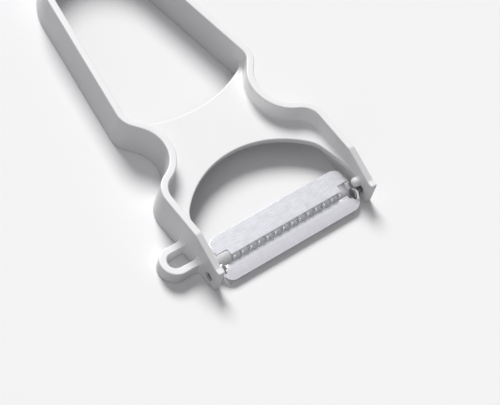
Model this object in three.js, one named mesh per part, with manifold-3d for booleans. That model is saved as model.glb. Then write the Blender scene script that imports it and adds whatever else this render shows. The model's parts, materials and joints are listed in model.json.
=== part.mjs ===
// Julienne peeler: a white moulded frame with a loop handle, and a steel blade that swivels
// between the frame's two arms.
// Millimetres. X runs across the arms, Y from the blade towards the handle's end, Z up.
// While the pieces are made, y = 0 is the blade's pivot line and z = 0 is the frame's resting edge.

import * as THREE from 'three';
import { mergeVertices } from 'three/addons/utils/BufferGeometryUtils.js';
import Module from 'manifold-3d';

const wasm = await Module();
wasm.setup();

// Frame: the ribbon wall that runs up one arm, round the handle and down the other arm
const overallLength = 134.2; // arm tips to the handle's end
const armSpan = 70; // across the arms' outer faces
const wall = 2.6; // ribbon wall thickness
const frameDepth = 14.7; // ribbon height
const armTipReach = 4.4; // arm tips past the pivot line
const shoulderY = 32.3; // corner where an arm turns in
const shoulderRadius = 9.2;
const neckHalf = 14.6; // corner of the waist, half width
const neckY = 41.8;
const neckRadius = 11.6;
const hipHalf = 29.2; // corner where the waist turns into a handle rail, half width
const hipY = 58.9;
const hipRadius = 7.8;
const handleEndRadius = 21; // outer round of the handle's end

// Frame: the sloped arm ends
const slopeStartY = 10.5; // where an arm's top edge starts to fall
const slopeEndY = -1.7;
const armTipHeight = 9.8;
const tipTopRound = 0.9;
const tipBottomRound = 1.3;

// Frame: the web that bridges the waist
const webTop = 8.3;
const webThickness = 2.3;
const archTopY = 33.2; // web's edge on the blade side, at the middle
const archRadius = 37.8;
const ledgeStartY = 20.4; // below this the web's edge is a straight ledge along each arm
const ledgeEndY = 6.6; // where that ledge runs out in the arm's inner face
const bridgeHandleY = 53.6; // web's edge on the handle side, at the middle
const bridgeHandleRadius = 52;
const openingCornerRadius = 4;

// Frame: the eye-remover loop on the left arm
const loopY = 9.95; // middle of the loop
const loopReach = 12.3; // past the arm's outer face
const loopHalf = 5.6; // half width, outside
const loopRing = 2.7;
const loopHeight = 5.4;
const loopFillet = 1.6; // where its legs meet the arm

// Pivot and stop
const pivotZ = 3.35;
const pinRadius = 1;
const pinRunningGap = 0.7; // pin to arm hole, on the radius
const pinRecess = 0.4; // pin's end below the arm's outer face
const pinHeadRadius = 2;
const pinHeadThickness = 0.6;
const pinHeadRoom = 0.3; // knife to pin head
const pinSeat = 0.03; // pin to ear
const pegY = 1.9;
const pegZ = 6.7;
const pegRadius = 1.7;
const pegReach = 3.1; // peg's tip past the arm's inner face
const swivelUp = 15; // degrees that the guide plate may lift before the right ear meets the peg
const swivelDown = 15; // degrees that it may drop
const stopGap = 0.15; // left between that ear and the peg at each end of the swivel

// Blade body
const steel = 0.8;
const bladeSideGap = 2.2; // ear to arm, each side
const guideTop = 6.2;
const guideLeadY = 10.2;
const guideTrailY = 1.8;
const guideCornerRadius = 5;
const guideNotchInset = 5.8; // length of the notch at each rear corner of the guide plate
const guideNotchDepth = 2.3;
const bendRadius = 1.7; // outside of the bend from guide plate to ear
const earRadius = 2.2; // ear round the pivot pin
const earFrontInset = 1.7; // front of the ear, behind the guide plate's front edge
const knifeEdgeY = 0.6;
const knifeEdgeZ = 2.7;
const knifeRearY = -5.4;
const knifeRearZ = 1.5;
const knifeBevel = 2;
const knifeCornerRadius = 4;

// Julienne comb
const combStrip = 0.6;
const combSeat = 0.03; // comb strip to guide plate
const combWidth = 48;
const combStripLength = 3.2;
const toothPitch = 3.6;
const toothThickness = 0.5;
const toothOverhang = 1; // teeth past the guide plate's rear edge
const toothGap = 0.35; // teeth above the knife's edge

// How finely the rounds are cut
const arcStep = THREE.MathUtils.degToRad(5);
const roundSides = 40;
const spare = 2; // cutting tools run this far past what they cut

// Sizes that follow
const armOuter = armSpan / 2;
const armInner = armOuter - wall;
const handleEndCentreY = overallLength - armTipReach - handleEndRadius;
const webBottom = webTop - webThickness;
const bladeHalf = armInner - bladeSideGap;
const earInner = bladeHalf - steel;
const pegTip = armInner - pegReach;
const armHoleRadius = pinRadius + pinRunningGap;
const guideBottom = guideTop - steel;

const vec = (x, y) => new THREE.Vector2(x, y);
const vecX = new THREE.Vector3(1, 0, 0);
const vecY = new THREE.Vector3(0, 1, 0);
const vecZ = new THREE.Vector3(0, 0, 1);

// Points of an arc about a centre, from one angle to another
function arcPoints(centre, radius, from, to) {
  const count = 2 * Math.max(1, Math.ceil(Math.abs(to - from) / arcStep / 2));
  const points = [];
  for (let i = 0; i <= count; i++) {
    const angle = from + ((to - from) * i) / count;
    points.push(vec(centre.x + radius * Math.cos(angle), centre.y + radius * Math.sin(angle)));
  }
  return points;
}

// The round that replaces a corner between two straight runs
function roundCorner(before, corner, after, radius) {
  const back = before.clone().sub(corner).normalize();
  const ahead = after.clone().sub(corner).normalize();
  const halfAngle = Math.acos(THREE.MathUtils.clamp(back.dot(ahead), -1, 1)) / 2;
  const centre = back.clone().add(ahead).normalize().multiplyScalar(radius / Math.sin(halfAngle)).add(corner);
  const start = back.clone().multiplyScalar(radius / Math.tan(halfAngle)).add(corner).sub(centre);
  const turn = Math.sign(ahead.cross(back)) * (Math.PI - 2 * halfAngle);
  return arcPoints(centre, radius, start.angle(), start.angle() + turn);
}

// A closed outline from corners given as [x, y, radius]; a corner with no radius stays sharp
function roundedOutline(corners) {
  const count = corners.length;
  return corners.flatMap(([x, y, radius], i) => {
    if (!radius) return [vec(x, y)];
    const before = corners[(i + count - 1) % count];
    const after = corners[(i + 1) % count];
    return roundCorner(vec(before[0], before[1]), vec(x, y), vec(after[0], after[1]), radius);
  });
}

const mirrored = (points) => points.map((p) => vec(-p.x, p.y)).reverse();

// Closed solids from outlines: drawn in XY and raised along Z, or drawn in YZ and run along X,
// or drawn in XZ and run along Y
function extrude(points, length) {
  return new THREE.ExtrudeGeometry(new THREE.Shape(points), { depth: length, bevelEnabled: false });
}

function solidAlongZ(points, low, high) {
  return toSolid(extrude(points, high - low).translate(0, 0, low));
}

function solidAlongX(points, low, high) {
  const turn = new THREE.Matrix4().makeBasis(vecY, vecZ, vecX);
  return toSolid(extrude(points, high - low).applyMatrix4(turn).translate(low, 0, 0));
}

function solidAlongY(points, low, high) {
  const turn = new THREE.Matrix4().makeBasis(vecZ, vecX, vecY);
  const drawn = points.map((p) => vec(p.y, p.x)).reverse();
  return toSolid(extrude(drawn, high - low).applyMatrix4(turn).translate(0, low, 0));
}

// A turned solid whose axis is the pivot line or parallel to it; profile points are [radius, x]
function turnedSolid(profile, y, z) {
  const lathe = new THREE.LatheGeometry(profile.map((p) => vec(p[0], p[1])), roundSides);
  const turn = new THREE.Matrix4().makeBasis(vecY, vecX, vecZ.clone().negate());
  return toSolid(lathe.applyMatrix4(turn).translate(0, y, z));
}

function toSolid(geometry) {
  geometry.deleteAttribute('normal');
  geometry.deleteAttribute('uv');
  const merged = mergeVertices(geometry, 1e-4);
  const corners = merged.index.array;
  const kept = [];
  for (let i = 0; i < corners.length; i += 3) {
    const [a, b, c] = [corners[i], corners[i + 1], corners[i + 2]];
    if (a !== b && b !== c && c !== a) kept.push(a, b, c);
  }
  return new wasm.Manifold(new wasm.Mesh({
    numProp: 3,
    vertProperties: new Float32Array(merged.attributes.position.array),
    triVerts: new Uint32Array(kept),
  }));
}

function toGeometry(solid) {
  const mesh = solid.getMesh();
  const geometry = new THREE.BufferGeometry();
  geometry.setAttribute('position', new THREE.BufferAttribute(mesh.vertProperties, 3));
  geometry.setIndex(new THREE.BufferAttribute(mesh.triVerts, 1));
  geometry.computeVertexNormals();
  return geometry;
}

const joined = (solids) => solids.reduce((sum, next) => sum.add(next));

// Where a handle rail leaves the hip corner and meets the round end, on the right-hand side
const hipCorner = vec(hipHalf, hipY);
const endCentre = vec(0, handleEndCentreY);
const hipFromEnd = hipCorner.clone().sub(endCentre);
const railEndAngle = hipFromEnd.angle() - 2 * Math.PI + Math.acos(handleEndRadius / hipFromEnd.length());
const railEndSide = vec(Math.cos(railEndAngle), Math.sin(railEndAngle));
const railEnd = railEndSide.multiplyScalar(handleEndRadius).add(endCentre);
const railRun = railEnd.clone().sub(hipCorner).normalize();
const railInward = vec(-railRun.y, railRun.x);

// The ribbon's outline moved inwards by a distance, from the right arm round to the left arm
function ribbonLine(inset, startY) {
  const insetLine = (a, b) => {
    const run = b.clone().sub(a).normalize();
    const shift = vec(-run.y, run.x).multiplyScalar(inset);
    return { point: a.clone().add(shift), run };
  };
  const crossing = (first, second) => {
    const gap = second.point.clone().sub(first.point);
    const reach = gap.cross(second.run) / first.run.cross(second.run);
    return first.run.clone().multiplyScalar(reach).add(first.point);
  };
  const start = vec(armOuter, startY);
  const shoulder = vec(armOuter, shoulderY);
  const neck = vec(neckHalf, neckY);
  const arm = insetLine(start, shoulder);
  const slant = insetLine(shoulder, neck);
  const flare = insetLine(neck, hipCorner);
  const rail = insetLine(hipCorner, railEnd);
  const corners = [crossing(arm, slant), crossing(slant, flare), crossing(flare, rail)];
  const railStop = railInward.clone().multiplyScalar(inset).add(railEnd);
  const half = [
    arm.point,
    ...roundCorner(arm.point, corners[0], corners[1], shoulderRadius - inset),
    ...roundCorner(corners[0], corners[1], corners[2], neckRadius + inset),
    ...roundCorner(corners[1], corners[2], railStop, hipRadius - inset),
  ];
  const end = arcPoints(endCentre, handleEndRadius - inset, railEndAngle, Math.PI - railEndAngle);
  return [...half, ...end, ...mirrored(half)];
}

function frameRibbon() {
  const outline = [...ribbonLine(0, -armTipReach), ...ribbonLine(wall, -armTipReach).reverse()];
  return solidAlongZ(outline, 0, frameDepth);
}

// The web fills the waist inside the ribbon, less the blade's arch and the handle's opening
function frameWeb() {
  const plate = solidAlongZ(ribbonLine(wall / 2, 0), webBottom, webTop);
  const archCentre = vec(0, archTopY - archRadius);
  const archAngle = Math.asin((ledgeStartY - archCentre.y) / archRadius);
  const arch = [
    vec(armInner, -armTipReach - spare),
    vec(armInner, ledgeEndY),
    ...arcPoints(archCentre, archRadius, archAngle, Math.PI - archAngle),
    vec(-armInner, ledgeEndY),
    vec(-armInner, -armTipReach - spare),
  ];
  const bowl = vec(0, bridgeHandleY + bridgeHandleRadius);
  const cornerReach = bridgeHandleRadius - openingCornerRadius;
  const cornerLine = railInward.clone().multiplyScalar(wall + openingCornerRadius).add(hipCorner);
  const fromBowl = cornerLine.clone().sub(bowl);
  const along = fromBowl.dot(railRun);
  const travel = -along - Math.sqrt(along * along - fromBowl.lengthSq() + cornerReach * cornerReach);
  const corner = railRun.clone().multiplyScalar(travel).add(cornerLine);
  const railSide = Math.atan2(-railInward.y, -railInward.x);
  const bowlSide = Math.atan2(corner.y - bowl.y, corner.x - bowl.x);
  const rightCorner = arcPoints(corner, openingCornerRadius, bowlSide, railSide);
  const last = rightCorner[rightCorner.length - 1];
  const opening = [
    ...arcPoints(bowl, bridgeHandleRadius, -Math.PI - bowlSide, bowlSide),
    ...rightCorner.slice(1),
    vec(last.x + wall, last.y),
    vec(last.x + wall, overallLength),
    vec(-last.x - wall, overallLength),
    vec(-last.x - wall, last.y),
    ...mirrored(rightCorner).slice(0, -1),
  ];
  const cut = (points) => solidAlongZ(points, webBottom - spare, webTop + spare);
  return plate.subtract(cut(arch)).subtract(cut(opening));
}

// The eye-remover loop: a ring with a round end, whose two legs run into the left arm
function frameLoop() {
  const root = -armOuter + wall / 2;
  const low = loopY - loopHalf;
  const high = loopY + loopHalf;
  const ringCentre = vec(loopHalf - loopReach - armOuter, loopY);
  const lowRoot = vec(-armOuter, low - loopFillet);
  const highRoot = vec(-armOuter, high + loopFillet);
  const roundEnd = (radius) => arcPoints(ringCentre, radius, -Math.PI / 2, -1.5 * Math.PI);
  const outside = [
    vec(root, lowRoot.y),
    ...roundCorner(lowRoot, vec(-armOuter, low), vec(ringCentre.x, low), loopFillet),
    ...roundEnd(loopHalf),
    ...roundCorner(vec(ringCentre.x, high), vec(-armOuter, high), highRoot, loopFillet),
    vec(root, highRoot.y),
  ];
  const hole = [
    vec(-armOuter, low + loopRing),
    ...roundEnd(loopHalf - loopRing),
    vec(-armOuter, high - loopRing),
  ];
  return solidAlongZ(outside, 0, loopHeight).subtract(solidAlongZ(hole, -spare, loopHeight + spare));
}

// The domed stop peg that stands on the right arm's inner face
function stopPeg() {
  const dome = arcPoints(vec(0, pegTip + pegRadius), pegRadius, 0, -Math.PI / 2);
  const profile = [[0, pegTip], ...dome.reverse().slice(1).map((p) => [p.x, p.y])];
  profile.push([pegRadius, armInner + wall / 2], [0, armInner + wall / 2]);
  return turnedSolid(profile, pegY, pegZ);
}

// The frame seen from the side: full depth along the handle, sloped at the arm ends
function frameSilhouette() {
  const fall = (slopeStartY - slopeEndY) / (frameDepth - armTipHeight);
  const side = roundedOutline([
    [overallLength, 0],
    [overallLength, frameDepth + spare],
    [slopeStartY + spare * fall, frameDepth + spare],
    [slopeEndY, armTipHeight],
    [-armTipReach, armTipHeight, tipTopRound],
    [-armTipReach, 0, tipBottomRound],
  ]);
  const reach = armOuter + loopReach + spare;
  return solidAlongX(side, -reach, reach);
}

function makeFrame() {
  const hole = turnedSolid([
    [0, -armOuter - spare],
    [armHoleRadius, -armOuter - spare],
    [armHoleRadius, armOuter + spare],
    [0, armOuter + spare],
  ], 0, pivotZ);
  const moulding = joined([frameRibbon(), frameWeb(), frameLoop(), stopPeg()]);
  return moulding.intersect(frameSilhouette()).subtract(hole);
}

// An ear seen from the side: round the pin, up to the guide plate and back to the knife
const earOutline = roundedOutline([
  [guideLeadY - earFrontInset, guideTop],
  [guideTrailY, guideTop],
  [-pinRadius, guideTop - steel, earRadius / 2],
  [knifeRearY + knifeCornerRadius / 2, knifeRearZ + steel, steel / 2],
  [knifeRearY + knifeCornerRadius / 2, knifeRearZ, steel / 4],
  [-earRadius, pivotZ - earRadius, earRadius / 2],
  [earRadius, pivotZ - earRadius, earRadius],
  [guideLeadY - earFrontInset, guideBottom - steel, steel],
]);

// Space that the peg sweeps in the blade as the blade swivels. The two ears are pressed alike, so both have it.
function pegSweep() {
  const reach = Math.hypot(pegY, pegZ - pivotZ);
  const direction = Math.atan2(pegZ - pivotZ, pegY);
  const halfAngle = Math.asin((pegRadius + stopGap) / reach);
  const from = direction - halfAngle - THREE.MathUtils.degToRad(swivelUp);
  const to = direction + halfAngle + THREE.MathUtils.degToRad(swivelDown);
  const pivot = vec(0, pivotZ);
  const far = arcPoints(pivot, reach + pegRadius + stopGap, from, to);
  const near = arcPoints(pivot, reach - pegRadius - stopGap, to, from);
  return solidAlongX([...far, ...near], pegTip - stopGap, armOuter);
}

// Guide plate: a flat strip whose ends bend down into the ears
function guidePlate() {
  const outer = roundedOutline([
    [bladeHalf, 0],
    [bladeHalf, guideTop, bendRadius],
    [-bladeHalf, guideTop, bendRadius],
    [-bladeHalf, 0],
    [-earInner, 0],
    [-earInner, guideBottom, bendRadius - steel],
    [earInner, guideBottom, bendRadius - steel],
    [earInner, 0],
  ]);
  const notchX = bladeHalf - guideNotchInset;
  const notchY = guideTrailY + guideNotchDepth;
  const plan = roundedOutline([
    [bladeHalf, notchY],
    [bladeHalf, guideLeadY, guideCornerRadius],
    [-bladeHalf, guideLeadY, guideCornerRadius],
    [-bladeHalf, notchY],
    [-notchX, notchY, steel / 2],
    [-notchX, guideTrailY],
    [notchX, guideTrailY],
    [notchX, notchY, steel / 2],
  ]);
  const channel = solidAlongY(outer, guideTrailY, guideLeadY);
  const flat = [
    vec(guideTrailY, guideBottom - bendRadius),
    vec(guideLeadY, guideBottom - bendRadius),
    vec(guideLeadY, guideTop),
    vec(guideTrailY, guideTop),
  ];
  const sideOn = solidAlongX(flat, -bladeHalf, bladeHalf).add(solidAlongX(earOutline, -bladeHalf, bladeHalf));
  return channel.intersect(sideOn).intersect(solidAlongZ(plan, 0, guideTop + spare));
}

// Knife: a sloped plate, ground to an edge along the slot
function knife() {
  const edge = vec(knifeEdgeY, knifeEdgeZ);
  const rear = vec(knifeRearY, knifeRearZ);
  const run = rear.clone().sub(edge).normalize();
  const rise = vec(run.y, -run.x).multiplyScalar(steel);
  const ground = run.clone().multiplyScalar(knifeBevel).add(edge).add(rise);
  const side = [edge, ground, rear.clone().add(rise), rear];
  const plan = roundedOutline([
    [bladeHalf, guideLeadY],
    [-bladeHalf, guideLeadY],
    [-bladeHalf, knifeRearY, knifeCornerRadius],
    [bladeHalf, knifeRearY, knifeCornerRadius],
  ]);
  const headRadius = pinHeadRadius + pinHeadRoom;
  const headStart = earInner - pinSeat - pinHeadThickness - pinHeadRoom;
  const head = turnedSolid([
    [0, headStart],
    [headRadius, headStart],
    [headRadius, earInner],
    [0, earInner],
  ], 0, pivotZ);
  const plate = solidAlongX(side, -bladeHalf, bladeHalf).intersect(solidAlongZ(plan, 0, guideTop));
  return plate.subtract(head).subtract(head.mirror([1, 0, 0]));
}

function makeBladeBody() {
  const ear = solidAlongX(earOutline, earInner, bladeHalf);
  const pinHole = turnedSolid([
    [0, -armOuter],
    [pinRadius + pinSeat, -armOuter],
    [pinRadius + pinSeat, armOuter],
    [0, armOuter],
  ], 0, pivotZ);
  const plan = roundedOutline([
    [bladeHalf, guideLeadY, guideCornerRadius],
    [-bladeHalf, guideLeadY, guideCornerRadius],
    [-bladeHalf, knifeRearY, knifeCornerRadius],
    [bladeHalf, knifeRearY, knifeCornerRadius],
  ]);
  const topRounds = roundedOutline([
    [bladeHalf, 0],
    [bladeHalf, guideTop, bendRadius],
    [-bladeHalf, guideTop, bendRadius],
    [-bladeHalf, 0],
  ]);
  const ears = ear.add(ear.mirror([1, 0, 0])).intersect(solidAlongY(topRounds, knifeRearY, guideLeadY));
  const pressing = joined([guidePlate(), knife(), ears]).intersect(solidAlongZ(plan, 0, guideTop + spare));
  const sweep = pegSweep();
  return pressing.subtract(pinHole).subtract(sweep).subtract(sweep.mirror([1, 0, 0]));
}

// Comb: a strip under the guide plate's rear edge, with upright teeth across the slot
function makeComb() {
  const top = guideBottom - combSeat;
  const bottom = top - combStrip;
  const front = guideTrailY + combStripLength;
  const strip = [vec(guideTrailY, bottom), vec(front, bottom), vec(front, top), vec(guideTrailY, top)];
  const toothRear = guideTrailY - toothOverhang;
  const toothLow = knifeEdgeZ + toothGap;
  const tooth = [
    vec(toothRear, toothLow),
    vec(guideTrailY, toothLow),
    vec(front - combStrip, bottom + combStrip / 2),
    vec(toothRear, top),
  ];
  const gaps = Math.floor((combWidth - toothThickness) / toothPitch);
  const teeth = [];
  for (let i = 0; i <= gaps; i++) {
    const x = (i - gaps / 2) * toothPitch;
    teeth.push(solidAlongX(tooth, x - toothThickness / 2, x + toothThickness / 2));
  }
  return joined([solidAlongX(strip, -combWidth / 2, combWidth / 2), ...teeth]);
}

// Pivot pin: a head inside the ear and a shaft through the ear into the arm's hole
function makePin(side) {
  const headTop = earInner - pinSeat - pinHeadThickness;
  const pin = turnedSolid([
    [0, headTop],
    [pinHeadRadius, headTop],
    [pinHeadRadius, earInner - pinSeat],
    [pinRadius, earInner - pinSeat],
    [pinRadius, armOuter - pinRecess],
    [0, armOuter - pinRecess],
  ], 0, pivotZ);
  return side > 0 ? pin : pin.mirror([1, 0, 0]);
}

const whitePlastic = { color: 0xf3f3f1, roughness: 0.32, metalness: 0 };
const bladeSteel = { color: 0xd4d7db, roughness: 0.28, metalness: 1 };
const combSteel = { color: 0xc9ccd1, roughness: 0.3, metalness: 1 };
const pinSteel = { color: 0xb4b7bc, roughness: 0.35, metalness: 1 };

function piece(name, solid, finish) {
  const mesh = new THREE.Mesh(toGeometry(solid), new THREE.MeshStandardMaterial(finish));
  mesh.name = name;
  return mesh;
}

const blade = new THREE.Group();
blade.add(piece('blade_body', makeBladeBody(), bladeSteel));
blade.add(piece('julienne_comb', makeComb(), combSteel));
blade.add(piece('pivot_pin_left', makePin(-1), pinSteel));
blade.add(piece('pivot_pin_right', makePin(1), pinSteel));

const peeler = new THREE.Group();
peeler.add(piece('frame', makeFrame(), whitePlastic));
peeler.add(blade);

// The object stands on z = 0 with the middle of its box over the origin
const box = new THREE.Box3().setFromObject(peeler);
const middle = box.getCenter(new THREE.Vector3());
peeler.position.set(-middle.x, -middle.y, -box.min.z);

export default peeler;
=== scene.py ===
import bpy
import bmesh
import json
import math
from mathutils import Matrix, Vector


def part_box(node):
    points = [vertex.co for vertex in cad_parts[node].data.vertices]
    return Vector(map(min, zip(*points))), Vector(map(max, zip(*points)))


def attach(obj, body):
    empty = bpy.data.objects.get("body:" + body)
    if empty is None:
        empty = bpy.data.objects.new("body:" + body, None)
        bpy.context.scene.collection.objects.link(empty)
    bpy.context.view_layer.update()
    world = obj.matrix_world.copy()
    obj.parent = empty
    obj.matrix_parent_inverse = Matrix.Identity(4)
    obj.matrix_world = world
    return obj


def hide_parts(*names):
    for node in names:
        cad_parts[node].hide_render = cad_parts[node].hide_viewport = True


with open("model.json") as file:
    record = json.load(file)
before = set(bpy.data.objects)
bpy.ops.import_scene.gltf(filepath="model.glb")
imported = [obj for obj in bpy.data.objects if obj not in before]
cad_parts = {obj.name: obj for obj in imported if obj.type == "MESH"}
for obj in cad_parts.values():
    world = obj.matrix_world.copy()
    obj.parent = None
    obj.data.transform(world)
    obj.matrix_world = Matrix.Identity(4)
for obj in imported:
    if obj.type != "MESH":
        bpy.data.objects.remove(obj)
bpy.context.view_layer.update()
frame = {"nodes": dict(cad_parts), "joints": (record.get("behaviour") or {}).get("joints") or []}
scene = bpy.context.scene

mm = 0.001
hinge = Vector(frame["joints"][0]["pos_m"])
origin = Vector((hinge.x, hinge.y, 0))  # sizes below are in mm from here: the pivot line, down on the table
print("frame loaded:", ", ".join(sorted(frame["nodes"])))


def place(x, y, z):
    return origin + Vector((x, y, z)) * mm


def nodeBox(name):  # a node's lowest and highest corner, in mm from the pivot line
    low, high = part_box(name)
    return (low - origin) / mm, (high - origin) / mm


# drawing helpers, in mm

def arc(centre, radius, start, end, stepDeg=3.0):
    count = max(2, math.ceil(abs(end - start) / math.radians(stepDeg) - 1e-6))
    angles = [start + (end - start) * i / count for i in range(count + 1)]
    return [Vector((centre[0] + radius * math.cos(a), centre[1] + radius * math.sin(a))) for a in angles]


def cornerArc(before, corner, after, radius, stepDeg=3.0):
    before, corner, after = Vector(before), Vector(corner), Vector(after)
    back = (before - corner).normalized()
    ahead = (after - corner).normalized()
    half = back.angle(ahead) / 2
    centre = corner + (back + ahead).normalized() * radius / math.sin(half)
    start = corner + back * radius / math.tan(half) - centre
    turn = math.copysign(math.pi - 2 * half, ahead.x * back.y - ahead.y * back.x)
    first = math.atan2(start.y, start.x)
    return arc(centre, radius, first, first + turn, stepDeg)


def roundedLine(corners, stepDeg):  # an open line through (x, y), with (x, y, radius) at its corners
    points = [Vector(corners[0])]
    for before, corner, after in zip(corners, corners[1:], corners[2:]):
        points += cornerArc(before[:2], corner[:2], after[:2], corner[2], stepDeg)
    return points + [Vector(corners[-1])]


def arcIntoLine(centre, radius, start, point, run, inside, small, near):
    # an arc from one angle, then a small round inside it that ends on the line through a point
    base = point + inside * small - centre
    along = base.dot(run)
    root = math.sqrt(along ** 2 - base.length_squared + (radius - small) ** 2)
    found = [point + inside * small + run * (side * root - along) for side in (1, -1)]
    best = min(found, key=lambda p: (p - near).length)
    touch = best - centre
    first = math.atan2(touch.y, touch.x)
    last = math.atan2(-inside.y, -inside.x)
    return arc(centre, radius, start, first, stepDeg=2) + arc(best, small, first, last)[1:]


def heightAt(line, y):  # height of a line of (y, height) points, y rising
    for a, b in zip(line, line[1:]):
        if a.x <= y <= b.x and b.x > a.x:
            return a.y + (b.y - a.y) * (y - a.x) / (b.x - a.x)
    return line[0].y if y < line[0].x else line[-1].y


def mirrored(points):
    return [Vector((-p.x, p.y)) for p in reversed(points)]


def grown(points, by):  # a closed outline moved outwards along its own normals
    area = sum(a.x * b.y - b.x * a.y for a, b in zip(points, points[1:] + points[:1]))
    side = math.copysign(1, area)
    moved = []
    for before, p, after in zip(points[-1:] + points, points, points[1:] + points[:1]):
        into, out = (p - before).normalized(), (after - p).normalized()
        normal = Vector((into.y + out.y, -into.x - out.x)).normalized() * side
        lean = max(0.5, normal.dot(Vector((into.y, -into.x))) * side)  # keeps sharp corners from running off
        moved.append(p + normal * by / lean)
    return moved


# mesh helpers

meshing = {
    "weld": 0.004,  # mm between points that become one
    "sliver": 0.002,
    "straight": 10,  # degrees; a point where a line turns less than this is dropped
    "wearFrom": 15,  # degrees that an outward edge turns where wear begins
    "wearOver": 8,  # and how many more make it full
    "leastFlat": 0.05,  # mm, half of what stays flat between two edge rounds
}


def newObject(name, bm):
    bmesh.ops.recalc_face_normals(bm, faces=bm.faces)
    mesh = bpy.data.meshes.new(name)
    bm.to_mesh(mesh)
    bm.free()
    obj = bpy.data.objects.new(name, mesh)
    scene.collection.objects.link(obj)
    return obj


def skinned(name, rings):  # closed rings of points in mm, joined in order and capped
    bm = bmesh.new()
    rows = [[bm.verts.new(place(*p)) for p in ring] for ring in rings]
    for a, b in zip(rows, rows[1:]):
        for j in range(len(a)):
            k = (j + 1) % len(a)
            bm.faces.new((a[j], a[k], b[k], b[j]))
    bm.faces.new(rows[0])
    bm.faces.new(rows[-1])
    return newObject(name, bm)


def turned(name, profile, y, z, sides=48):  # (x, radius) points, turned about a line along X
    spin = [2 * math.pi * i / sides for i in range(sides)]
    return skinned(name, [[(x, y + r * math.cos(a), z + r * math.sin(a)) for a in spin] for x, r in profile])


def onPivot(name, profile, side):  # turned about the pivot line; side -1 is the left one
    return turned(name, [(x * side, radius) for x, radius in profile], 0, hinge.z / mm)


def wallSweep(name, stations, edge, steps=4):
    # a wall of rounded section along stations of (outer, inner, low, high, squeeze)
    rings = []
    for outer, inner, low, high, squeeze in stations:
        width = (inner - outer).length
        soft = min(edge, width / 2 - squeeze - meshing["leastFlat"])  # a narrow end has a smaller round
        near, far = squeeze + soft, width - squeeze - soft
        corners = [(near, low + soft, 2), (far, low + soft, 3), (far, high - soft, 0), (near, high - soft, 1)]
        ring = []
        for across, height, quarter in corners:
            for i in range(steps + 1):
                a = (quarter + i / steps) * math.pi / 2
                p = outer.lerp(inner, (across + soft * math.cos(a)) / width)
                ring.append((p.x, p.y, height + soft * math.sin(a)))
        rings.append(ring)
    return skinned(name, rings)


def carve(target, tool, operation):  # one boolean, kept in the target's mesh
    step = target.modifiers.new("carve", "BOOLEAN")
    step.operation = operation
    step.solver = "MANIFOLD"
    step.object = tool
    graph = bpy.context.evaluated_depsgraph_get()
    result = bpy.data.meshes.new_from_object(target.evaluated_get(graph))
    target.modifiers.clear()
    target.data = result
    bpy.data.objects.remove(tool)


def finishMesh(obj, sharpDeg):
    m = meshing
    bm = bmesh.new()
    bm.from_mesh(obj.data)
    bmesh.ops.remove_doubles(bm, verts=bm.verts, dist=m["weld"] * mm)
    bmesh.ops.dissolve_degenerate(bm, edges=bm.edges, dist=m["sliver"] * mm)
    between = [v for v in bm.verts if len(v.link_edges) == 2]
    spare = [v for v in between if v.calc_edge_angle(0) < math.radians(m["straight"])]
    bmesh.ops.dissolve_verts(bm, verts=spare)
    bmesh.ops.triangulate(bm, faces=[f for f in bm.faces if len(f.verts) > 4], ngon_method="BEAUTY")
    for face in bm.faces:
        face.smooth = True
    worn = bm.verts.layers.float.new("edgeWear")  # 1 along the crown of an outward edge
    for vert in bm.verts:
        turns = [math.degrees(e.calc_face_angle_signed(0)) for e in vert.link_edges]
        vert[worn] = min(1, max(0, (max(turns, default=0) - m["wearFrom"]) / m["wearOver"]))
    bm.to_mesh(obj.data)
    bm.free()
    obj.data.set_sharp_from_angle(angle=math.radians(sharpDeg))
    even = obj.modifiers.new("even shading", "WEIGHTED_NORMAL")
    even.keep_sharp = True
    even.weight = 100


# white moulding: ribbon wall, web, eye loop and stop peg, all one shot of plastic

boxLow, boxHigh = nodeBox("frame")
ribbon = {
    "armHalf": boxHigh.x,
    "tipY": boxLow.y,
    "endY": boxHigh.y,
    "depth": boxHigh.z,
    "wall": 2.6,
    "shoulder": (boxHigh.x, 32.3),
    "shoulderRound": 9.2,
    "neck": (14.6, 41.8),
    "neckRound": 11.6,
    "hip": (29.2, 58.9),
    "hipRound": 7.8,
    "endRound": 21,
    "slopeStart": 10.5,  # the arm's top edge falls from here
    "slopeEnd": -1.7,
    "tipHeight": 9.8,
    "tipTopRound": 0.9,
    "tipBottomRound": 1.3,
    "tipPlanRound": 1.15,  # the tips are nearly full round, seen from above
    "crease": 2.5,  # round at both ends of the slope
    "edge": 0.45,
    "leastStep": 0.012,  # sections closer than this are left out
    "shoulderGap": 0.1,  # the arm's last section is this far from where the shoulder starts
}


def ribbonLine(inset):  # plan line on the right side, from the shoulder to the middle of the handle's end
    r = ribbon
    centre = Vector((0, r["endY"] - r["endRound"]))
    reach = Vector(r["hip"]) - centre
    railAngle = math.atan2(reach.y, reach.x) + math.acos(r["endRound"] / reach.length)
    rail = centre + Vector((math.cos(railAngle), math.sin(railAngle))) * r["endRound"]
    corners = [Vector(c) for c in ((r["armHalf"], 0), r["shoulder"], r["neck"], r["hip"], rail)]
    runs = [(b - a).normalized() for a, b in zip(corners, corners[1:])]
    moved = [corners[0] + Vector((-runs[0].y, runs[0].x)) * inset]
    for corner, a, b in zip(corners[1:], runs, runs[1:]):
        normal = Vector((-a.y - b.y, a.x + b.x)).normalized()
        moved.append(corner + normal * inset / normal.dot(Vector((-a.y, a.x))))
    moved.append(rail + Vector((-runs[3].y, runs[3].x)) * inset)
    line = cornerArc(moved[0], moved[1], moved[2], r["shoulderRound"] - inset)
    line += cornerArc(moved[1], moved[2], moved[3], r["neckRound"] + inset)
    line += cornerArc(moved[2], moved[3], moved[4], r["hipRound"] - inset)
    waistCount = len(line)
    return line + arc(centre, r["endRound"] - inset, railAngle, math.pi / 2), waistCount


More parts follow.
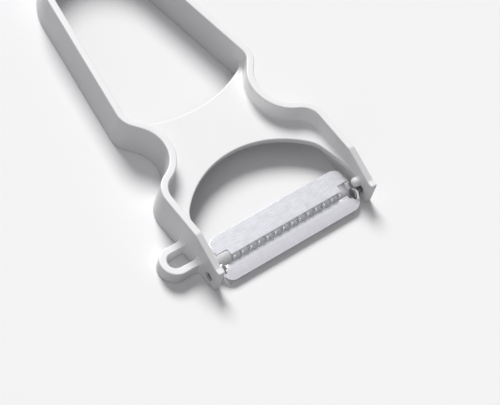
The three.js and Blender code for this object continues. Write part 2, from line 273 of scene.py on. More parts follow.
def makeRibbon():
    r = ribbon
    outer, _ = ribbonLine(0)
    inner, _ = ribbonLine(r["wall"])
    armEnd = outer[0].y
    farY = armEnd + r["wall"]
    top = roundedLine([(r["tipY"], 0), (r["tipY"], r["tipHeight"], r["tipTopRound"]),
                       (r["slopeEnd"], r["tipHeight"], r["crease"]),
                       (r["slopeStart"], r["depth"], r["crease"]), (farY, r["depth"])], stepDeg=6)[1:]
    bottom = roundedLine([(r["tipY"], r["depth"]), (r["tipY"], 0, r["tipBottomRound"]), (farY, 0)],
                         stepDeg=8)[1:]
    tipEnd = r["tipPlanRound"]
    capEdge = [r["tipY"] + tipEnd * (1 - math.cos(math.radians(a))) for a in range(0, 91, 10)]
    marks = sorted([p.x for p in top + bottom] + capEdge)
    apart = [y for y, after in zip(marks, marks[1:]) if after - y > r["leastStep"]]
    stations = []
    for y in (y for y in apart if y < armEnd - r["shoulderGap"]):
        into = max(0.0, tipEnd - (y - r["tipY"]))
        squeeze = tipEnd - math.sqrt(tipEnd ** 2 - into ** 2)
        ends = [Vector((r["armHalf"] - inset, y)) for inset in (0, r["wall"])]
        stations.append((*ends, heightAt(bottom, y), heightAt(top, y), squeeze))
    stations += [(a, b, 0, r["depth"], 0) for a, b in zip(outer, inner)]
    flip = [(Vector((-a.x, a.y)), Vector((-b.x, b.y)), *rest) for a, b, *rest in reversed(stations)]
    return wallSweep("frame_moulding", stations + flip[1:], r["edge"])


web = {
    "top": 8.3,
    "thickness": 2.3,
    "wallFillet": 0.9,
    "edge": 0.5,
    "archTop": 33.2,  # the blade side's edge, at the middle
    "archRound": 37.8,
    "ledgeStart": 20.4,  # from here the edge is a straight ledge along the arm
    "ledgeEnd": 6.6,
    "ledgeRound": 9,
    "bowlY": 53.6,  # the handle side's edge, at the middle
    "bowlRound": 52,
    "bowlCorner": 4,
    "reachIn": 0.6,  # how far cuts run into the ribbon wall
    "sunk": 0.02,  # how far the wall fillet does
    "cutPast": 2,  # how far cuts run past the fillets, up and down
    "overrun": 4,  # how far the slab and the arch run on where nothing shows
    "railShare": 0.3,  # the slab ends this far along the rail
}


def webCutter(name, outline):  # its flared ends leave the web's free edges round
    w = web
    bottom = w["top"] - w["thickness"]
    spare = w["wallFillet"] + w["cutPast"]
    quarter = [math.radians(a) for a in range(0, 91, 15)]
    flare = [(w["edge"] * (1 - math.sin(a)), w["edge"] * (1 - math.cos(a))) for a in quarter]
    levels = [(w["edge"], bottom - spare)]
    levels += [(grow, bottom + rise) for grow, rise in flare]
    levels += [(grow, w["top"] - rise) for grow, rise in reversed(flare)]
    levels += [(w["edge"], w["top"] + spare)]
    return skinned(name, [[(p.x, p.y, z) for p in grown(outline, grow)] for grow, z in levels])


def makeWeb():
    r, w = ribbon, web
    outer, waistCount = ribbonLine(0)
    inner, _ = ribbonLine(r["wall"])
    fillet, top, bottom = w["wallFillet"], w["top"], w["top"] - w["thickness"]
    centreAcross = r["wall"] + fillet - w["sunk"]
    quarter = [math.radians(270 - 10 * i) for i in range(10)]
    upper = [(centreAcross + fillet * math.cos(a), top + fillet + fillet * math.sin(a)) for a in quarter]
    profile = upper + [(r["wall"] / 2, top + fillet), (r["wall"] / 2, bottom - fillet)]
    profile += [(across, top + bottom - z) for across, z in reversed(upper)]
    rings = []
    for across, z in profile:
        half = [Vector((r["armHalf"] - across, w["ledgeEnd"] - w["overrun"]))]
        half += [a.lerp(b, across / r["wall"]) for a, b in zip(outer[:waistCount], inner)]
        rail = outer[waistCount].lerp(inner[waistCount], across / r["wall"])
        half.append(half[-1].lerp(rail, w["railShare"]))
        rings.append([(p.x, p.y, z) for p in half + mirrored(half)])
    slab = skinned("web", rings)

    archCentre = Vector((0, w["archTop"] - w["archRound"]))
    ledgeX = math.sqrt(w["archRound"] ** 2 - (w["ledgeStart"] - archCentre.y) ** 2)
    ledgeFrom = Vector((ledgeX, w["ledgeStart"]))
    ledgeTo = Vector((r["armHalf"] - r["wall"], w["ledgeEnd"]))
    run = (ledgeTo - ledgeFrom).normalized()
    inside = Vector((run.y, -run.x))
    half = arcIntoLine(archCentre, w["archRound"], math.pi / 2, ledgeTo, run, inside,
                       w["ledgeRound"], ledgeFrom)
    half.append(ledgeTo + run * w["reachIn"] / run.x)
    half.append(Vector((half[-1].x, r["tipY"] - w["overrun"])))
    carve(slab, webCutter("arch", half[1:] + mirrored(half)), "DIFFERENCE")

    bowl = Vector((0, w["bowlY"] + w["bowlRound"]))
    railFrom, railTo = inner[waistCount - 1], inner[waistCount]
    run = (railTo - railFrom).normalized()
    inside = Vector((-run.y, run.x))
    half = arcIntoLine(bowl, w["bowlRound"], -math.pi / 2, railFrom, run, inside, w["bowlCorner"], railFrom)
    half.append(half[-1] - inside * w["reachIn"] * 2)
    half.append(Vector((half[-1].x, r["endY"])))
    carve(slab, webCutter("bowl", half[1:] + mirrored(half)), "DIFFERENCE")
    return slab


eyeLoop = {
    "y": 9.95,  # middle of the loop
    "reach": -boxLow.x - boxHigh.x,  # past the left arm's outer face
    "half": 5.6,
    "ring": 2.7,
    "height": 5.4,
    "rootRound": 1.6,  # where its legs meet the arm, in plan
    "holeRound": 0.9,  # the same, inside the loop
    "topFillet": 1.8,  # the same, seen from the side
    "sunk": 0.03,  # the fillets run this far into the arm
    "legStart": 1.1,  # the plain leg starts this many top fillets from the arm
    "edge": 0.45,
}


def filletRise(radius, away):  # how high a fillet stands, this far from its wall
    return radius - math.sqrt(radius ** 2 - max(0, radius - away) ** 2)


def makeEyeLoop():
    r, e = ribbon, eyeLoop
    face = e["sunk"] - r["armHalf"]
    low = e["y"] - e["half"]
    centre = Vector((e["half"] - e["reach"] - r["armHalf"], e["y"]))
    leg = [Vector((face + r["wall"] / 2, low - e["rootRound"]))]
    leg += cornerArc((face, low - e["half"]), (face, low), (centre.x, low), e["rootRound"], stepDeg=9)
    leg.append(Vector((face - e["topFillet"] * e["legStart"], low)))
    stations = []
    for p in leg:
        away = max(0, face - p.x)
        hole = Vector((p.x, low + e["ring"] + filletRise(e["holeRound"], away)))
        stations.append((p, hole, 0, e["height"] + filletRise(e["topFillet"], away), 0))
    farLeg = [(Vector((a.x, 2 * e["y"] - a.y)), Vector((b.x, 2 * e["y"] - b.y)), *rest)
              for a, b, *rest in reversed(stations)]
    radii = (e["half"], e["half"] - e["ring"])
    ends = [arc(centre, radius, -math.pi / 2, -1.5 * math.pi, stepDeg=5) for radius in radii]
    stations += [(a, b, 0, e["height"], 0) for a, b in zip(*ends)]
    return wallSweep("eyeLoop", stations + farLeg, e["edge"])


stopPeg = {  # on the right arm only
    "y": 1.9,
    "z": 6.7,
    "radius": 1.7,
    "reach": 3.1,
    "rootRound": 0.5,
    "sunk": 0.02,  # the root's round runs this far into the arm
    "rootDepth": 1,  # and the peg itself this far
    "pole": 0.04,  # radius of the flat left at the very tip
}
pivotHole = {"radius": 1.7, "rim": 0.15, "overrun": 1}


def makeStopPeg():
    s = stopPeg
    face = ribbon["armHalf"] - ribbon["wall"]
    quarter = [math.radians(a) for a in range(0, 91, 10)]
    tip = face - s["reach"]
    root = s["radius"] + s["rootRound"]
    profile = [(face + s["rootDepth"], root)]
    for a in quarter:
        x = face + s["sunk"] - s["rootRound"] * (1 - math.cos(a))
        profile.append((x, root - s["rootRound"] * math.sin(a)))
    for a in quarter:
        profile.append((tip + s["radius"] * (1 - math.sin(a)), max(s["pole"], s["radius"] * math.cos(a))))
    return turned("stopPeg", profile, s["y"], s["z"])


def makePivotHole(side):
    h, r = pivotHole, ribbon
    quarter = [math.radians(a) for a in range(0, 91, 18)]
    rim = [(h["rim"] * (1 - math.cos(a)), h["radius"] + h["rim"] * (1 - math.sin(a))) for a in quarter]
    inner = r["armHalf"] - r["wall"]
    profile = [(r["armHalf"] + h["overrun"], h["radius"] + h["rim"])]
    profile += [(r["armHalf"] - depth, radius) for depth, radius in rim]
    profile += [(inner + depth, radius) for depth, radius in reversed(rim)]
    profile.append((inner - h["overrun"], h["radius"] + h["rim"]))
    return onPivot("pivotHole", profile, side)


moulding = makeRibbon()
carve(moulding, makeWeb(), "UNION")
carve(moulding, makeEyeLoop(), "UNION")
carve(moulding, makeStopPeg(), "UNION")
for side in (1, -1):
    carve(moulding, makePivotHole(side), "DIFFERENCE")
finishMesh(moulding, sharpDeg=38)
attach(moulding, "frame")
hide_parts("frame")
print("moulding made:", len(moulding.data.polygons), "faces")


# blade: one pressed sheet, drawn flat, bent down at both ends, with the knife joined between its ears

sheetLow, sheetHigh = nodeBox("blade_body")
bladeSheet = {
    "half": sheetHigh.x,
    "lead": sheetHigh.y,
    "top": sheetHigh.z,
    "steel": 0.8,
    "edge": 0.12,  # broken edge of the pressing
    "bend": 1.7,  # outer radius
    "trail": 1.8,  # guide's edge along the slot
    "trailRound": 0.3,
    "leadCorner": 5.0,
    "notch": (5.8, 2.3),  # cut-outs at the slot's ends: in from the side, and deep
    "notchRound": 0.5,
    "ear": [  # (y, z, round) of its corners, from the notch down, under the pivot and up in front
        (-1.0, 5.4, 1.1),
        (-2.9, 2.3, 0.8),
        (-2.9, 1.5, 0.2),
        (-2.2, 1.15, 0.8),
        (2.2, 1.15, 2.2),
        (6.0, 3.2, 1.0),
    ],
    "earFront": 6.0,
    "cornerFrom": 30,  # degrees round the lead corner where the ear's front joins it
    "pinHole": 1.03,
    "pinHoleRun": (-3, 2),  # drilled from inside the ear to past it
}


def slabLevels(low, high, edge, steps=3):  # (how far the outline draws in, z) with both edges rounded
    quarter = [math.pi / 2 * i / steps for i in range(steps + 1)]
    lower = [(edge * (math.sin(a) - 1), low + edge * (1 - math.cos(a))) for a in quarter]
    return lower + [(grow, low + high - z) for grow, z in reversed(lower)]


def flatSheet():  # outline of the sheet before it is bent: x runs on down the ears
    s = bladeSheet
    neutral = s["bend"] - s["steel"] / 2
    bendFrom = s["half"] - s["bend"]
    bendTo = bendFrom + neutral * math.pi / 2
    bendBottom = s["top"] - s["bend"]

    def alongFlat(x):  # flat place of a point seen from above
        return x if x <= bendFrom else bendFrom + neutral * math.asin(min(1, (x - bendFrom) / s["bend"]))

    def downEar(z):
        if z < bendBottom:
            return bendTo + bendBottom - z
        return bendFrom + neutral * math.acos((z - bendBottom) / s["bend"])

    notchX, notchY = s["half"] - s["notch"][0], s["trail"] + s["notch"][1]
    cornerAt = (s["half"] - s["leadCorner"], s["lead"] - s["leadCorner"])
    corner = arc(cornerAt, s["leadCorner"], math.radians(s["cornerFrom"]), math.pi / 2)
    corner = [Vector((alongFlat(p.x), p.y)) for p in corner]
    line = [(0, s["trail"]), (notchX, s["trail"], s["trailRound"]), (notchX, notchY, s["notchRound"])]
    line.append((alongFlat(s["half"] - s["steel"]), notchY, s["steel"]))
    line += [(downEar(z), y, radius) for y, z, radius in s["ear"]]
    line += [(bendTo, s["earFront"], s["steel"]), tuple(corner[0])]
    half = roundedLine(line, stepDeg=8)[1:-1] + corner
    return half + mirrored(half), bendFrom, bendTo


def makeGuide():
    s = bladeSheet
    outline, bendFrom, bendTo = flatSheet()
    levels = slabLevels(0, s["steel"], s["edge"])
    obj = skinned("blade_pressing", [[(p.x, p.y, z) for p in grown(outline, grow)] for grow, z in levels])
    bm = bmesh.new()
    bm.from_mesh(obj.data)
    steps = 10
    for side in (1, -1):
        for i in range(steps + 1):
            x = bendFrom + (bendTo - bendFrom) * i / steps
            everything = bm.verts[:] + bm.edges[:] + bm.faces[:]
            bmesh.ops.bisect_plane(bm, geom=everything, dist=1e-7,
                                   plane_co=place(side * x, 0, 0), plane_no=(1, 0, 0))
    neutral = s["bend"] - s["steel"] / 2
    for vert in bm.verts:
        x, y, height = (vert.co - origin) / mm
        over = max(0, abs(x) - bendFrom)
        angle = min(over / neutral, math.pi / 2)
        radius = s["bend"] - s["steel"] + height
        across = min(abs(x), bendFrom) + radius * math.sin(angle)
        down = max(0, abs(x) - bendTo)
        z = s["top"] - s["bend"] + radius * math.cos(angle) - down
        vert.co = place(math.copysign(across, x), y, z)
    bm.to_mesh(obj.data)
    bm.free()
    return obj


knife = {
    "edge": (0.6, 2.7),  # (y, z) of the cutting edge
    "rear": (sheetLow.y + 0.16, 1.53),  # drawn in a little, so that its round stays in the part's box
    "rearRound": 0.18,
    "bevel": 2.0,
    "bevelFacing": (0.1, 0.9),  # how far its ground face leans forwards and up, at least
    "bevelSlack": 0.3,
    "corner": 4.0,
    "endGap": 0.05,  # the ends stop just inside the ears' outer faces
    "headRoom": (1.8, 2.3),  # cut for the pins' heads: in from the ear's outer face, and its radius
}


def roundedSection(section):  # first two corners stay sharp
    points = [Vector(section[0]), Vector(section[1])]
    for before, corner, after in zip(section[1:], section[2:], section[3:]):
        points += cornerArc(before[:2], corner[:2], after[:2], corner[2], stepDeg=30)
    return points


def makeKnife():
    s, k = bladeSheet, knife
    edge, rear = Vector(k["edge"]), Vector(k["rear"])
    run = (rear - edge).normalized()
    up = Vector((run.y, -run.x)) * s["steel"]
    half = s["half"] - k["endGap"]
    cornerFrom = s["half"] - k["corner"]
    turns = [math.radians(a) for a in range(0, 80, 5)]
    places = [cornerFrom + k["corner"] * math.sin(a) for a in turns] + [half]
    rings = []
    for x in [-x for x in reversed(places)] + places:
        over = max(0, abs(x) - cornerFrom)
        pulledIn = k["corner"] - math.sqrt(k["corner"] ** 2 - over ** 2)
        back = rear - run * pulledIn / abs(run.x)
        section = [tuple(edge), tuple(edge + run * k["bevel"] + up)]
        section += [(*(back + up), k["rearRound"]), (*back, k["rearRound"]), tuple(edge)]
        rings.append([(x, p.x, p.y) for p in roundedSection(section)])
    obj = skinned("knife", rings)
    deep, radius = k["headRoom"]
    for side in (1, -1):
        headRoom = onPivot("headRoom", [(s["half"] - inset, radius) for inset in (deep, s["steel"])], side)
        carve(obj, headRoom, "DIFFERENCE")
    return obj


pegSweep = {  # the ears' room for the stop peg; both are pressed alike
    "gap": 0.15,
    "endGap": 0.35,
    "swivel": 15,  # degrees each way
}


def makePegSweep(side):
    s, gap = stopPeg, pegSweep["gap"]
    centre = Vector((0, hinge.z / mm))
    peg = Vector((s["y"], s["z"])) - centre
    wide = math.asin((s["radius"] + gap) / peg.length) + math.radians(pegSweep["swivel"])
    middle = math.atan2(peg.y, peg.x)
    far = arc(centre, peg.length + s["radius"] + gap, middle - wide, middle + wide, stepDeg=4)
    near = arc(centre, peg.length - s["radius"] - gap, middle + wide, middle - wide, stepDeg=6)
    inside = ribbon["armHalf"] - ribbon["wall"] - s["reach"] - pegSweep["endGap"]
    ends = (inside * side, ribbon["armHalf"] * side)
    return skinned("pegSweep", [[(x, p.x, p.y) for p in far + near] for x in ends])


pressing = makeGuide()
carve(pressing, makeKnife(), "UNION")
for side in (1, -1):
    drill = [(bladeSheet["half"] + step, bladeSheet["pinHole"]) for step in bladeSheet["pinHoleRun"]]
    carve(pressing, onPivot("pinHole", drill, side), "DIFFERENCE")
    carve(pressing, makePegSweep(side), "DIFFERENCE")
finishMesh(pressing, sharpDeg=30)
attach(pressing, "blade")
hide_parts("blade_body")
print("blade pressed:", len(pressing.data.polygons), "faces")


# comb: a strip under the guide, with upright teeth across the slot

stripLow, stripHigh = nodeBox("julienne_comb")
comb = {
    "half": stripHigh.x,
    "front": stripHigh.y,
    "top": stripHigh.z,
    "rear": stripLow.y,
    "low": stripLow.z,
    "strip": 0.6,
    "edge": 0.08,
    "pitch": 3.6,
    "tooth": 0.5,
    "grind": 0.55,  # how far each tooth is ground back on both sides of its cutting edge
    "toothDrop": 0.02,  # a tooth's rear corner is this far under the strip's top
}


def makeComb():
    c = comb
    bottom = c["top"] - c["strip"]
    trail = bladeSheet["trail"]
    rightSide = [Vector((c["half"], trail)), Vector((c["half"], c["front"]))]
    plan = rightSide + mirrored(rightSide)
    levels = slabLevels(bottom, c["top"], c["edge"])
    obj = skinned("comb_strip", [[(p.x, p.y, z) for p in grown(plan, grow)] for grow, z in levels])
    rootY, rootZ = c["front"] - c["strip"], bottom + c["strip"] / 2
    back = Vector((-(rootZ - c["low"]), rootY - trail)).normalized() * c["grind"]
    gaps = math.floor((2 * c["half"] - c["tooth"]) / c["pitch"])
    for i in range(gaps + 1):
        middle = (i - gaps / 2) * c["pitch"]
        rings = []
        for step, pulled in ((-1, 1), (0, 0), (1, 1)):
            x = middle + step * c["tooth"] / 2
            rings.append([(x, c["rear"], c["low"]), (x, trail + back.x * pulled, c["low"]),
                          (x, rootY + back.x * pulled, rootZ), (x, c["rear"], c["top"] - c["toothDrop"])])
        carve(obj, skinned("tooth", rings), "UNION")
    finishMesh(obj, sharpDeg=25)
    return obj


combPiece = makeComb()
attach(combPiece, "blade")
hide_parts("julienne_comb")
print("comb made:", len(combPiece.data.polygons), "faces")


# pivot pins: a low domed head inside the ear, and a shaft that ends in the arm's hole

pinLow, pinHigh = nodeBox("pivot_pin_right")
pin = {
    "headStart": pinLow.x,
    "end": pinHigh.x,
    "head": 2.0,
    "headThick": 0.6,
    "crown": (0.21, 0.5),  # round of the head's rim: along the pin, and across it
    "headPole": 0.05,  # radius of the flat left in the middle
    "shaft": 1.0,
    "chamfer": 0.25,
    "dimple": (0.3, 0.5),  # depth and radius of the mark in the shaft's end
    "dimplePole": 0.04,
}


def makePin(name, side):
    p = pin
    deep, wide = p["crown"]
    profile = [(p["headStart"], p["headPole"])]
    for a in [math.radians(15 * i) for i in range(7)]:
        profile.append((p["headStart"] + deep * (1 - math.cos(a)), p["head"] - wide + wide * math.sin(a)))
    under = p["headStart"] + p["headThick"]
    profile += [(under, p["head"]), (under, p["shaft"])]
    profile += [(p["end"] - p["chamfer"], p["shaft"]), (p["end"], p["shaft"] - p["chamfer"])]
    depth, radius = p["dimple"]
    profile += [(p["end"], radius), (p["end"] - depth, p["dimplePole"])]
    obj = onPivot(name, profile, side)
    finishMesh(obj, sharpDeg=35)
    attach(obj, "blade")
    return obj


leftPin = makePin("pin_left_turned", -1)
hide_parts("pivot_pin_left")
rightPin = makePin("pin_right_turned", 1)
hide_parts("pivot_pin_right")
print("pins turned")


# finishes

def newFinish(name):
    finish = bpy.data.materials.new(name)
    finish.use_nodes = True
    tree = finish.node_tree
    return finish, tree, tree.nodes["Principled BSDF"]


def addNode(tree, kind, **settings):
    node = tree.nodes.new(kind)
    for key, value in settings.items():
        if key in node.inputs:
            node.inputs[key].default_value = value
        else:
            setattr(node, key, value)
    return node


def objectNoise(tree, scale, stretch=(1, 1, 1), detail=3.0, turnDeg=0):
    where = addNode(tree, "ShaderNodeTexCoord")
    turn = addNode(tree, "ShaderNodeMapping", Rotation=(0, 0, math.radians(turnDeg)))
    size = addNode(tree, "ShaderNodeMapping", Scale=stretch)
    noise = addNode(tree, "ShaderNodeTexNoise", Scale=scale, Detail=detail)
    tree.links.new(where.outputs["Object"], turn.inputs["Vector"])
    tree.links.new(turn.outputs["Vector"], size.inputs["Vector"])
    tree.links.new(size.outputs["Vector"], noise.inputs["Vector"])
    return noise.outputs["Fac"]


def ramp(tree, value, low, high, start=0.3, end=0.7):
    blend = addNode(tree, "ShaderNodeMapRange")
    for key, number in (("From Min", start), ("From Max", end), ("To Min", low), ("To Max", high)):
        blend.inputs[key].default_value = number
    tree.links.new(value, blend.inputs["Value"])
    return blend.outputs["Result"]


def combine(tree, operation, *values):  # the values are sockets or numbers
    node = addNode(tree, "ShaderNodeMath", operation=operation)
    for socket, value in zip(node.inputs, values):
        if isinstance(value, (int, float)):
            socket.default_value = value
        else:
            tree.links.new(value, socket)
    return node.outputs["Value"]


def mixColours(tree, factor, low, high):
    blend = addNode(tree, "ShaderNodeMix", data_type="RGBA")
    tree.links.new(factor, blend.inputs[0])
    for socket, colour in ((blend.inputs[6], low), (blend.inputs[7], high)):  # the node's two colour sockets
        if isinstance(colour, tuple):
            socket.default_value = (*colour, 1)
        else:
            tree.links.new(colour, socket)
    return blend.outputs[2]


def colourBlend(tree, value, low, high):
    return mixColours(tree, ramp(tree, value, 0, 1), low, high)


wear = {
    "edgeScale": 700,
    "edgeLevel": (0.3, 1),
    "lineStretch": (0.01, 1, 1),
    "lineBand": (0.66, 0.74),  # the part of the noise that becomes lines
    "breakScale": 160,
    "breakBand": (0.45, 0.65),
}


def edgeWear(tree):  # worn edges, broken up
    mark = addNode(tree, "ShaderNodeAttribute", attribute_name="edgeWear")
    patches = ramp(tree, objectNoise(tree, wear["edgeScale"]), *wear["edgeLevel"])
    return combine(tree, "MULTIPLY", mark.outputs["Fac"], patches)


def scratches(tree, turnDeg, scale, amount):  # thin broken lines
    streaks = objectNoise(tree, scale, wear["lineStretch"], detail=1, turnDeg=turnDeg)
    lines = ramp(tree, streaks, 0, amount, *wear["lineBand"])
    breaks = ramp(tree, objectNoise(tree, wear["breakScale"]), 0, 1, *wear["breakBand"])
    return combine(tree, "MULTIPLY", lines, breaks)


def addBumps(tree, shader, *layers):  # (height, strength, distance in mm), one on top of the other
    normal = None
    for height, strength, distance in layers:
        bump = addNode(tree, "ShaderNodeBump", Strength=strength, Distance=distance * mm)
        tree.links.new(height, bump.inputs["Height"])
        if normal:
            tree.links.new(normal, bump.inputs["Normal"])
        normal = bump.outputs["Normal"]
    tree.links.new(normal, shader.inputs["Normal"])


whitePlastic = {
    "light": (0.91, 0.91, 0.91),
    "dark": (0.88, 0.88, 0.885),
    "cloud": (55, 0.6),  # noise scale, and its share of the mottle
    "speck": (1700, 0.4),
    "gloss": (0.30, 0.40),
    "glossScale": 260,
    "scuffs": [(35, 1500, 0.14), (-50, 1900, 0.10)],  # direction, noise scale, added roughness
    "edgeGloss": -0.09,
    "ior": 1.5,
    "sinkWave": (130, 0.2, 0.05),  # noise scale, strength, height in mm
    "mouldGrain": (5200, 0.25, 0.012),
}


def plasticFinish():
    p = whitePlastic
    finish, tree, shader = newFinish("white_moulded_plastic")
    scale, share = p["speck"]
    speck = combine(tree, "MULTIPLY", objectNoise(tree, scale, detail=2), share)
    scale, share = p["cloud"]
    mottle = combine(tree, "MULTIPLY_ADD", objectNoise(tree, scale), share, speck)
    tree.links.new(colourBlend(tree, mottle, p["dark"], p["light"]), shader.inputs["Base Color"])
    gloss = ramp(tree, objectNoise(tree, p["glossScale"]), *p["gloss"])
    for scuff in p["scuffs"]:
        gloss = combine(tree, "ADD", gloss, scratches(tree, *scuff))
    gloss = combine(tree, "MULTIPLY_ADD", edgeWear(tree), p["edgeGloss"], gloss)
    tree.links.new(gloss, shader.inputs["Roughness"])
    shader.inputs["IOR"].default_value = p["ior"]
    waveScale, *wave = p["sinkWave"]
    grainScale, *grain = p["mouldGrain"]
    addBumps(tree, shader, (objectNoise(tree, waveScale), *wave),
             (objectNoise(tree, grainScale, detail=2), *grain))
    return finish


satinSteel = {
    "light": (0.76, 0.77, 0.80),
    "dark": (0.65, 0.66, 0.685),
    "bright": (0.84, 0.85, 0.865),  # worn edges
    "grain": (11000, 0.5),  # noise scale, and its share of the mottle
    "cloud": (420, 0.5),
    "scratches": (6000, 0.08),  # noise scale, added roughness
    "edgeGloss": -0.08,
    "wave": (90, 0.15, 0.05),  # noise scale, strength, height in mm
    "grainBump": (0.3, 0.003),
}
steelKinds = {
    "satin_blade_steel": {"tone": 1.0, "stretch": (0.025, 1, 1), "gloss": (0.23, 0.32), "scratch": 84},
    "ground_bevel_steel": {"tone": 1.05, "stretch": (1, 0.03, 1), "gloss": (0.18, 0.30), "scratch": 90},
    "ground_comb_steel": {"tone": 0.90, "stretch": (1, 0.05, 0.05), "gloss": (0.24, 0.36), "scratch": 80},
}


def steelFinish(name):
    s, k = satinSteel, steelKinds[name]
    finish, tree, shader = newFinish(name)
    low, high, bright = (tuple(c * k["tone"] for c in s[key]) for key in ("dark", "light", "bright"))
    scale, share = s["cloud"]
    cloud = combine(tree, "MULTIPLY", objectNoise(tree, scale), share)
    scale, share = s["grain"]
    grain = objectNoise(tree, scale, k["stretch"], detail=4)
    tone = colourBlend(tree, combine(tree, "MULTIPLY_ADD", grain, share, cloud), low, high)
    edges = edgeWear(tree)
    tree.links.new(mixColours(tree, edges, tone, bright), shader.inputs["Base Color"])
    lines = scratches(tree, k["scratch"], *s["scratches"])
    gloss = combine(tree, "ADD", ramp(tree, grain, *k["gloss"]), lines)
    gloss = combine(tree, "MULTIPLY_ADD", edges, s["edgeGloss"], gloss)
    tree.links.new(gloss, shader.inputs["Roughness"])
    shader.inputs["Metallic"].default_value = 1
    waveScale, *wave = s["wave"]
    addBumps(tree, shader, (objectNoise(tree, waveScale), *wave), (grain, *s["grainBump"]))
    return finish


# the pins' dark tone is painted shade: the steel is darkened to stand in for the shade in the arm's holes and
# behind the ears
pinSteelPaintedShade = {
    "light": (0.30, 0.29, 0.28),
    "dark": (0.20, 0.195, 0.19),
    "gloss": (0.25, 0.38),
    "ringSpacing": 0.16,  # mm
    "ringWander": 0.6,
    "ringShare": 0.25,
    "speckScale": 2500,
    "ringBump": (0.25, 0.004),  # strength, height in mm
}


def pinFinish():  # rings left by the lathe, about the pivot line
    p = pinSteelPaintedShade
    finish, tree, shader = newFinish("turned_pin_steel_painted_shade")
    where = addNode(tree, "ShaderNodeTexCoord")
    centred = addNode(tree, "ShaderNodeMapping", Location=(0, -hinge.y, -hinge.z))
    rings = addNode(tree, "ShaderNodeTexWave", wave_type="RINGS", rings_direction="X")
    rings.inputs["Distortion"].default_value = p["ringWander"]
    perUnit = 20  # radians that the wave node makes of one unit
    rings.inputs["Scale"].default_value = 2 * math.pi / (perUnit * p["ringSpacing"] * mm)
    tree.links.new(where.outputs["Object"], centred.inputs["Vector"])
    tree.links.new(centred.outputs["Vector"], rings.inputs["Vector"])
    speck = objectNoise(tree, p["speckScale"])
    lathed = combine(tree, "MULTIPLY_ADD", rings.outputs["Fac"], p["ringShare"], speck)
    # painted shade: these dark tones make the pins look shaded; the lathe rings are the steel's own
    tree.links.new(colourBlend(tree, lathed, p["dark"], p["light"]), shader.inputs["Base Color"])
    tree.links.new(ramp(tree, lathed, *p["gloss"]), shader.inputs["Roughness"])
    shader.inputs["Metallic"].default_value = 1
    addBumps(tree, shader, (rings.outputs["Fac"], *p["ringBump"]))
    return finish


def dress(obj, *finishes):
    obj.data.materials.clear()
    for finish in finishes:
        obj.data.materials.append(finish)


def markGroundBevel(obj):  # the knife's ground face takes the second finish
    edgeY = knife["edge"][0]
    rearY = edgeY - knife["bevel"] - knife["bevelSlack"]
    forwards, up = knife["bevelFacing"]
    for face in obj.data.polygons:
        y = (face.center.y - origin.y) / mm
        if rearY < y < edgeY and face.normal.y > forwards and face.normal.z > up:
            face.material_index = 1


dress(moulding, plasticFinish())
dress(pressing, steelFinish("satin_blade_steel"), steelFinish("ground_bevel_steel"))
markGroundBevel(pressing)
dress(combPiece, steelFinish("ground_comb_steel"))
# the pins' finish carries painted shade
pinMetalPaintedShade = pinFinish()
dress(leftPin, pinMetalPaintedShade)
dress(rightPin, pinMetalPaintedShade)
print("finishes on")


# floor, light and camera

floor = {
    "size": 6.0,
    "light": (0.94, 0.94, 0.94),
    "dark": (0.925, 0.925, 0.93),
    "mottleScale": 3,
    "bounce": (0.27, 0.27, 0.28),  # what it sends back up on the part
    "roughness": 0.9,
}


def seenDirectly(tree):  # 1 for what the camera sees, itself or mirrored in metal, 0 for stray light
    path = addNode(tree, "ShaderNodeLightPath")
    passed = combine(tree, "MAXIMUM", path.outputs["Is Glossy Ray"], path.outputs["Is Transmission Ray"])
    return combine(tree, "MAXIMUM", path.outputs["Is Camera Ray"], passed)


def makeFloor():
    bm = bmesh.new()
    bmesh.ops.create_grid(bm, x_segments=2, y_segments=2, size=floor["size"] / 2)
    obj = newObject("floor", bm)
    finish, tree, shader = newFinish("pale_floor")
    mottle = colourBlend(tree, objectNoise(tree, floor["mottleScale"]), floor["dark"], floor["light"])
    shown = mixColours(tree, seenDirectly(tree), floor["bounce"], mottle)
    tree.links.new(shown, shader.inputs["Base Color"])
    shader.inputs["Roughness"].default_value = floor["roughness"]
    obj.data.materials.append(finish)


lamps = {  # wide soft lamps, far off, so that the floor is lit evenly; spread in degrees
    "key": {"from": (0.19, 0.70, 0.69), "spread": 26, "level": 3.15},
    "fill": {"from": (-0.80, -0.38, 0.47), "spread": 50, "level": 0.32},
}


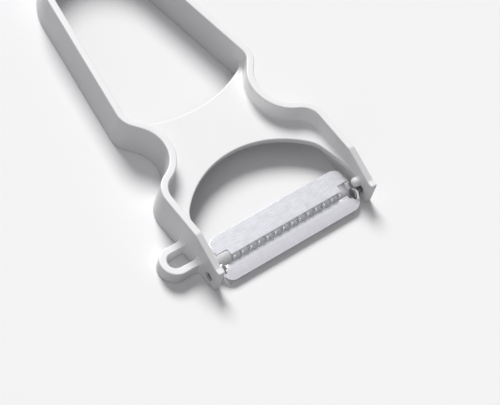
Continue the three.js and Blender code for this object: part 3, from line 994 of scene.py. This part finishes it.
def makeLamps():
    for name, lamp in lamps.items():
        light = bpy.data.lights.new(name, "SUN")
        light.angle = math.radians(lamp["spread"])
        light.energy = lamp["level"]
        obj = bpy.data.objects.new(name, light)
        obj.location = lamp["from"]
        obj.rotation_mode = "QUATERNION"
        obj.rotation_quaternion = (-Vector(lamp["from"])).to_track_quat("-Z", "Y")
        scene.collection.objects.link(obj)


room = {
    "colour": (0.98, 0.965, 1.0),
    "strength": 0.22,
    "seen": 0.8,  # its strength where the camera looks at it
}


def makeRoom():  # a plain pale backdrop to look at, and a softer light from all round
    world = bpy.data.worlds.new("room")
    scene.world = world
    world.use_nodes = True
    tree = world.node_tree
    back = tree.nodes["Background"]
    back.inputs["Color"].default_value = (*room["colour"], 1)
    level = addNode(tree, "ShaderNodeMapRange")
    level.inputs["To Min"].default_value = room["strength"]
    level.inputs["To Max"].default_value = room["seen"]
    tree.links.new(seenDirectly(tree), level.inputs["Value"])
    tree.links.new(level.outputs["Result"], back.inputs["Strength"])


viewpoint = {  # worked out from the edges in the photograph, in mm and degrees
    "aim": (-0.93, 18.02, -2.53),
    "azimuth": -56.10,
    "elevation": 54.56,
    "roll": 21.06,
    "distance": 894.7,
    "lens": 189.1,
    "sensor": 36,
    "near": 0.01,  # metres
}


def makeCamera():
    v = viewpoint
    azimuth, elevation, roll = (math.radians(v[key]) for key in ("azimuth", "elevation", "roll"))
    turn = Matrix.Rotation(azimuth, 4, "Z") @ Matrix.Rotation(math.pi / 2 - elevation, 4, "X")
    camera = bpy.data.cameras.new("camera")
    camera.lens = v["lens"]
    camera.sensor_width = v["sensor"]
    camera.clip_start = v["near"]
    obj = bpy.data.objects.new("camera", camera)
    obj.matrix_world = (Matrix.Translation(place(*v["aim"])) @ turn @ Matrix.Rotation(roll, 4, "Z")
                        @ Matrix.Translation((0, 0, v["distance"] * mm)))
    scene.collection.objects.link(obj)
    scene.camera = obj


makeFloor()
makeLamps()
makeRoom()
makeCamera()
scene.view_settings.view_transform = "Standard"
print("floor, light and camera set")
